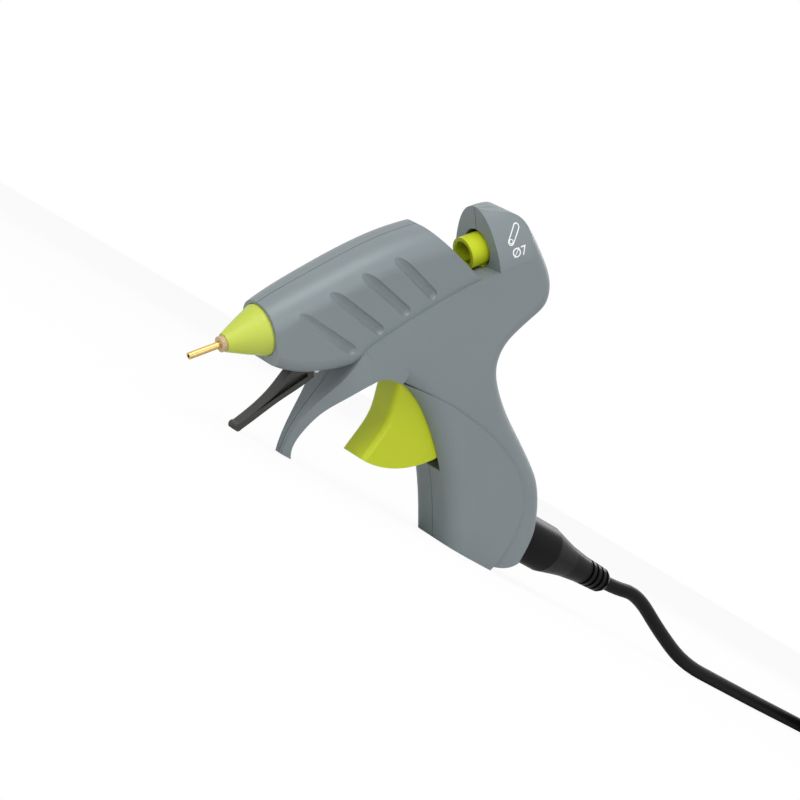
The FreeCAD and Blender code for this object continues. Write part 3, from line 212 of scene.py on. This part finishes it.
def moulded(name, colour, roughness, grain=0.0004, relief=0.00002, tone=0.06, spread=0.05):
    """A moulded plastic or rubber: a fine spark-eroded grain, with slow changes of tone and of gloss."""
    material = bpy.data.materials.new(name)
    material.use_nodes = True
    tree = material.node_tree
    surface = tree.nodes["Principled BSDF"]
    place = tree.nodes.new("ShaderNodeTexCoord")
    slow = tree.nodes.new("ShaderNodeTexNoise")
    slow.inputs["Scale"].default_value = 35.0
    slow.inputs["Detail"].default_value = 4.0
    fine = tree.nodes.new("ShaderNodeTexNoise")
    fine.inputs["Scale"].default_value = 1.0 / grain
    fine.inputs["Detail"].default_value = 3.0
    for noise in (slow, fine):
        tree.links.new(place.outputs["Object"], noise.inputs["Vector"])
    mottle = tree.nodes.new("ShaderNodeMath")
    mottle.operation = "MULTIPLY_ADD"
    mottle.inputs[1].default_value = 0.35
    tree.links.new(fine.outputs["Fac"], mottle.inputs[0])
    tree.links.new(slow.outputs["Fac"], mottle.inputs[2])
    shade = tree.nodes.new("ShaderNodeMix")
    shade.data_type = "RGBA"
    shade.inputs["A"].default_value = (*[part * (1.0 - 1.5 * tone) for part in colour], 1.0)
    shade.inputs["B"].default_value = (*[min(part * (1.0 + 0.8 * tone), 1.0) for part in colour], 1.0)
    tree.links.new(mottle.outputs[0], shade.inputs["Factor"])
    tree.links.new(shade.outputs["Result"], surface.inputs["Base Color"])
    gloss = tree.nodes.new("ShaderNodeMapRange")
    gloss.inputs["To Min"].default_value = roughness - spread
    gloss.inputs["To Max"].default_value = roughness + spread
    tree.links.new(slow.outputs["Fac"], gloss.inputs["Value"])
    tree.links.new(gloss.outputs["Result"], surface.inputs["Roughness"])
    bump = tree.nodes.new("ShaderNodeBump")
    bump.inputs["Distance"].default_value = relief
    bump.inputs["Strength"].default_value = 0.6
    tree.links.new(fine.outputs["Fac"], bump.inputs["Height"])
    tree.links.new(bump.outputs["Normal"], surface.inputs["Normal"])
    return material


def finish_with(material, *names):
    """Gives CAD nodes a material."""
    for name in names:
        node = nodes[name]
        node.data.materials.clear()
        node.data.materials.append(material)


cord_rubber = moulded("cord_rubber", (0.0055, 0.0052, 0.005), 0.46, grain=0.0006)
cord_rubber.node_tree.nodes["Principled BSDF"].inputs["Specular IOR Level"].default_value = 0.08
cord.data.materials.append(cord_rubber)
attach(cord, "frame")
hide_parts("cord", "cord_hank")

# ---------------------------------------------------------------------------------------------------
# Strain relief and the cord's tail inside the grip.
# The relief is moulded on the cord in soft black PVC, glossier than the cord, and clamped in the heel.
# ---------------------------------------------------------------------------------------------------
relief_rubber = moulded("relief_rubber", (0.0045, 0.0043, 0.0042), 0.28, grain=0.0011, relief=0.00003,
                        spread=0.10)
relief_rubber.node_tree.nodes["Principled BSDF"].inputs["Specular IOR Level"].default_value = 0.09
finish_with(relief_rubber, "strain_relief")
finish_with(cord_rubber, "cord_tail")

# ---------------------------------------------------------------------------------------------------
# Plug and tie.
# A flat two-pin plug moulded on in the same black PVC, with turned brass pins in half sleeves, and a
# white nylon band round the hank.
# ---------------------------------------------------------------------------------------------------
plug_pvc = moulded("plug_pvc", (0.012, 0.012, 0.012), 0.38, grain=0.0005)
finish_with(plug_pvc, "plug_body")
tie_nylon = moulded("tie_nylon", (0.62, 0.62, 0.60), 0.45, grain=0.0007, tone=0.04)
finish_with(tie_nylon, "cord_tie")
BARREL_SLANT = math.radians(44.0)


def metal(name, colour, roughness, lines=(900.0, 900.0, 900.0), relief=0.000004, tone=0.10):
    """A bare metal: streaks vary its tone and its gloss, at the scales of lines on the barrel's axes."""
    material = bpy.data.materials.new(name)
    material.use_nodes = True
    tree = material.node_tree
    surface = tree.nodes["Principled BSDF"]
    surface.inputs["Metallic"].default_value = 1.0
    place = tree.nodes.new("ShaderNodeTexCoord")
    stretch = tree.nodes.new("ShaderNodeMapping")
    stretch.inputs["Rotation"].default_value = (0.0, BARREL_SLANT, 0.0)
    stretch.inputs["Scale"].default_value = lines
    streaks = tree.nodes.new("ShaderNodeTexNoise")
    streaks.inputs["Scale"].default_value = 1.0
    streaks.inputs["Detail"].default_value = 5.0
    tree.links.new(place.outputs["Object"], stretch.inputs["Vector"])
    tree.links.new(stretch.outputs["Vector"], streaks.inputs["Vector"])
    shade = tree.nodes.new("ShaderNodeMix")
    shade.data_type = "RGBA"
    shade.inputs["A"].default_value = (*[part * (1.0 - tone) for part in colour], 1.0)
    shade.inputs["B"].default_value = (*[min(part * (1.0 + tone), 1.0) for part in colour], 1.0)
    tree.links.new(streaks.outputs["Fac"], shade.inputs["Factor"])
    tree.links.new(shade.outputs["Result"], surface.inputs["Base Color"])
    gloss = tree.nodes.new("ShaderNodeMapRange")
    gloss.inputs["To Min"].default_value = roughness - 0.07
    gloss.inputs["To Max"].default_value = roughness + 0.09
    tree.links.new(streaks.outputs["Fac"], gloss.inputs["Value"])
    tree.links.new(gloss.outputs["Result"], surface.inputs["Roughness"])
    bump = tree.nodes.new("ShaderNodeBump")
    bump.inputs["Distance"].default_value = relief
    bump.inputs["Strength"].default_value = 0.5
    tree.links.new(streaks.outputs["Fac"], bump.inputs["Height"])
    tree.links.new(bump.outputs["Normal"], surface.inputs["Normal"])
    return material


pin_brass = metal("pin_brass", (0.62, 0.45, 0.19), 0.28, lines=(3000.0, 400.0, 400.0))
finish_with(pin_brass, "plug_pins")

# ---------------------------------------------------------------------------------------------------
# Housing halves.
# Two injection-moulded halves of mid-grey ABS, spark-eroded to a fine satin, screwed together.
# ---------------------------------------------------------------------------------------------------
grey = moulded("housing_grey", (0.176, 0.205, 0.214), 0.44, grain=0.00045, relief=0.000018, tone=0.07)
finish_with(grey, "housing_left", "housing_right")

# ---------------------------------------------------------------------------------------------------
# Stick mark on the hood.
# A glue stick drawn in outline and its 7 mm size, pad-printed in white on the left half of the hood.
# ---------------------------------------------------------------------------------------------------
BARREL_AXIS = Vector((math.cos(BARREL_SLANT), 0.0, math.sin(BARREL_SLANT)))
BARREL_UP = Vector((-math.sin(BARREL_SLANT), 0.0, math.cos(BARREL_SLANT)))
BASE_CORNER = Vector((GUN_MIDDLE, 0.0, 0.0)) - BARREL_AXIS * 0.082 + BARREL_UP * 0.097
INK = 0.00004
MARK_LEAN = 47.0
CLEAR_OF_SIDE = 0.05
left_half = BVHTree.FromPolygons([vertex.co for vertex in nodes["housing_left"].data.vertices],
                                 [face.vertices[:] for face in nodes["housing_left"].data.polygons])
print_ink = moulded("print_ink", (0.80, 0.81, 0.80), 0.5, grain=0.0002, relief=0.000004, tone=0.05)


def print_on_hood(name, flat, along, up, lean):
    """Lays a flat closed mesh, turned by lean and moved to that place on the barrel's axes, on the hood."""
    turn = Matrix.Rotation(math.radians(lean), 4, "Z")
    for vertex in flat.verts:
        drawn = turn @ vertex.co
        spot_on = BASE_CORNER + BARREL_AXIS * (along + drawn.x) + BARREL_UP * (up + drawn.y)
        hit = left_half.ray_cast(Vector((spot_on.x, -CLEAR_OF_SIDE, spot_on.z)), Vector((0.0, 1.0, 0.0)))[0]
        vertex.co = (spot_on.x, hit.y - drawn.z - INK / 2, spot_on.z)
    bmesh.ops.recalc_face_normals(flat, faces=flat.faces)
    print_piece = bpy.data.objects.new(name, bpy.data.meshes.new(name))
    flat.to_mesh(print_piece.data)
    flat.free()
    bpy.context.scene.collection.objects.link(print_piece)
    print_piece.data.materials.append(print_ink)
    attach(print_piece, "frame")


def outline(radius, half_length, stroke):
    """A closed ring of ink round a circle, its two halves drawn apart by twice half_length."""
    ring = bmesh.new()
    bmesh.ops.create_circle(ring, cap_ends=True, segments=40, radius=radius)
    for vertex in ring.verts:
        vertex.co.x += half_length if vertex.co.x > 0 else -half_length
    inside = bmesh.ops.inset_region(ring, faces=ring.faces[:], thickness=stroke, use_even_offset=True,
                                     use_boundary=True)
    bmesh.ops.delete(ring, geom=[face for face in ring.faces if face not in inside["faces"]], context="FACES")
    long_edges = [edge for edge in ring.edges if edge.calc_length() > 0.001]
    if long_edges:
        bmesh.ops.subdivide_edges(ring, edges=long_edges, cuts=7, use_grid_fill=True)
    raised = bmesh.ops.extrude_face_region(ring, geom=ring.faces[:])
    bmesh.ops.translate(ring, vec=(0.0, 0.0, INK),
                        verts=[part for part in raised["geom"] if isinstance(part, bmesh.types.BMVert)])
    return ring


print_on_hood("mark_stick", outline(0.00115, 0.0026, 0.00034), 0.1160, 0.0055, MARK_LEAN)
print_on_hood("mark_stick_end", outline(0.00080, 0.0, 0.00026), 0.11432, 0.00372, MARK_LEAN)
words = bpy.data.curves.new("mark_size", "FONT")
words.body = "Ø7"
words.size = 0.0043
words.extrude = INK / 2
words.resolution_u = 4
words.align_x = "CENTER"
words.align_y = "CENTER"
lettering = bpy.data.objects.new("mark_size_text", words)
bpy.context.scene.collection.objects.link(lettering)
digits = bmesh.new()
digits.from_mesh(bpy.data.meshes.new_from_object(lettering))
bpy.data.objects.remove(lettering)
bmesh.ops.remove_doubles(digits, verts=digits.verts, dist=0.0000002)
long_sides = [edge for edge in digits.edges if edge.calc_length() > 0.0008]
bmesh.ops.subdivide_edges(digits, edges=long_sides, cuts=2)
print_on_hood("mark_size", digits, 0.1165, -0.0003, 0.0)

# ---------------------------------------------------------------------------------------------------
# Trigger, nozzle cover and feed carriage.
# Moulded in lime-green nylon. The cover is a heat-proof grade, a little duller and yellower.
# ---------------------------------------------------------------------------------------------------
lime = moulded("lime_nylon", (0.49, 0.56, 0.012), 0.36, grain=0.0008, relief=0.00001, tone=0.05)
lime.node_tree.nodes["Principled BSDF"].inputs["Specular IOR Level"].default_value = 0.32
cover_lime = moulded("cover_lime", (0.44, 0.51, 0.055), 0.44, grain=0.0006, relief=0.000016, tone=0.07)
finish_with(lime, "trigger", "feed_carriage")
finish_with(cover_lime, "nozzle_cover")

# ---------------------------------------------------------------------------------------------------
# Needle, its collar, the nozzle body and its ball valve.
# Drawn brass tube pressed into a turned brass body; a tan silicone collar closes the cover's tip.
# ---------------------------------------------------------------------------------------------------
needle_brass = metal("needle_brass", (0.66, 0.46, 0.17), 0.26, lines=(150.0, 1200.0, 1200.0),
                     relief=0.0000008, tone=0.06)
finish_with(needle_brass, "needle_tube")
finish_with(metal("turned_brass", (0.60, 0.43, 0.17), 0.30, lines=(5000.0, 300.0, 300.0)), "nozzle_body")
finish_with(moulded("collar_silicone", (0.46, 0.33, 0.19), 0.5, tone=0.12), "needle_collar")
finish_with(metal("bearing_steel", (0.58, 0.58, 0.60), 0.15), "valve_ball")
finish_with(metal("spring_wire", (0.46, 0.46, 0.48), 0.30, lines=(1500.0, 1500.0, 1500.0)), "valve_spring",
            "return_spring")

# ---------------------------------------------------------------------------------------------------
# Melt chamber, heater and their wiring.
# Die-cast aluminium chamber; a ceramic heater between two aluminium electrodes, wrapped in amber
# polyimide film, is pressed into it. Tinned crimps join the two insulated leads.
# ---------------------------------------------------------------------------------------------------
finish_with(metal("cast_aluminium", (0.66, 0.67, 0.69), 0.42, lines=(500.0, 500.0, 500.0), relief=0.00003),
            "melt_chamber")
finish_with(metal("rolled_aluminium", (0.74, 0.75, 0.77), 0.30, lines=(200.0, 2500.0, 2500.0)),
            "heater_electrodes")
finish_with(moulded("heater_ceramic", (0.38, 0.36, 0.33), 0.7, grain=0.0003, tone=0.14), "heater_element")
finish_with(moulded("amber_film", (0.52, 0.22, 0.03), 0.25, grain=0.0015, tone=0.12), "heater_insulation")
finish_with(metal("tinned_copper", (0.70, 0.69, 0.66), 0.30), "crimp_terminals")
finish_with(moulded("brown_insulation", (0.13, 0.05, 0.025), 0.45, grain=0.0006), "lead_brown")
finish_with(moulded("blue_insulation", (0.03, 0.11, 0.40), 0.45, grain=0.0006), "lead_blue")

# ---------------------------------------------------------------------------------------------------
# Inlet sleeve, its clamp and the chamber's seal.
# Milky silicone, moulded; the sleeve grips the stick and is held on the chamber by a steel band.
# ---------------------------------------------------------------------------------------------------
milky = moulded("milky_silicone", (0.66, 0.63, 0.58), 0.42, grain=0.0009, tone=0.08)
finish_with(milky, "feed_sleeve", "chamber_seal")
finish_with(metal("band_steel", (0.55, 0.55, 0.57), 0.30, lines=(300.0, 2200.0, 2200.0)), "sleeve_clamp")

# ---------------------------------------------------------------------------------------------------
# Gripper, link, pins and screws.
# Stamped zinc-plated steel levers on drawn steel pins, and zinc-plated thread-forming screws.
# ---------------------------------------------------------------------------------------------------
zinc = metal("zinc_plate", (0.56, 0.57, 0.58), 0.34, lines=(700.0, 2000.0, 700.0), tone=0.14)
pin_steel = metal("pin_steel", (0.52, 0.52, 0.54), 0.24, lines=(2400.0, 200.0, 2400.0))
finish_with(zinc, "gripper_lever", "link", "housing_screws", "clamp_screws")
finish_with(pin_steel, "gripper_pin", "trigger_link_pin", "lever_link_pin", "trigger_pin", "stand_pin")

# ---------------------------------------------------------------------------------------------------
# Stand leg and cable clamp.
# Glass-filled black nylon, moulded with flanges and a thin web; the leg swings on a steel pin.
# ---------------------------------------------------------------------------------------------------
leg_nylon = moulded("leg_nylon", (0.024, 0.024, 0.021), 0.40, grain=0.0007, relief=0.00003, tone=0.12)
finish_with(leg_nylon, "stand_leg", "cable_clamp")
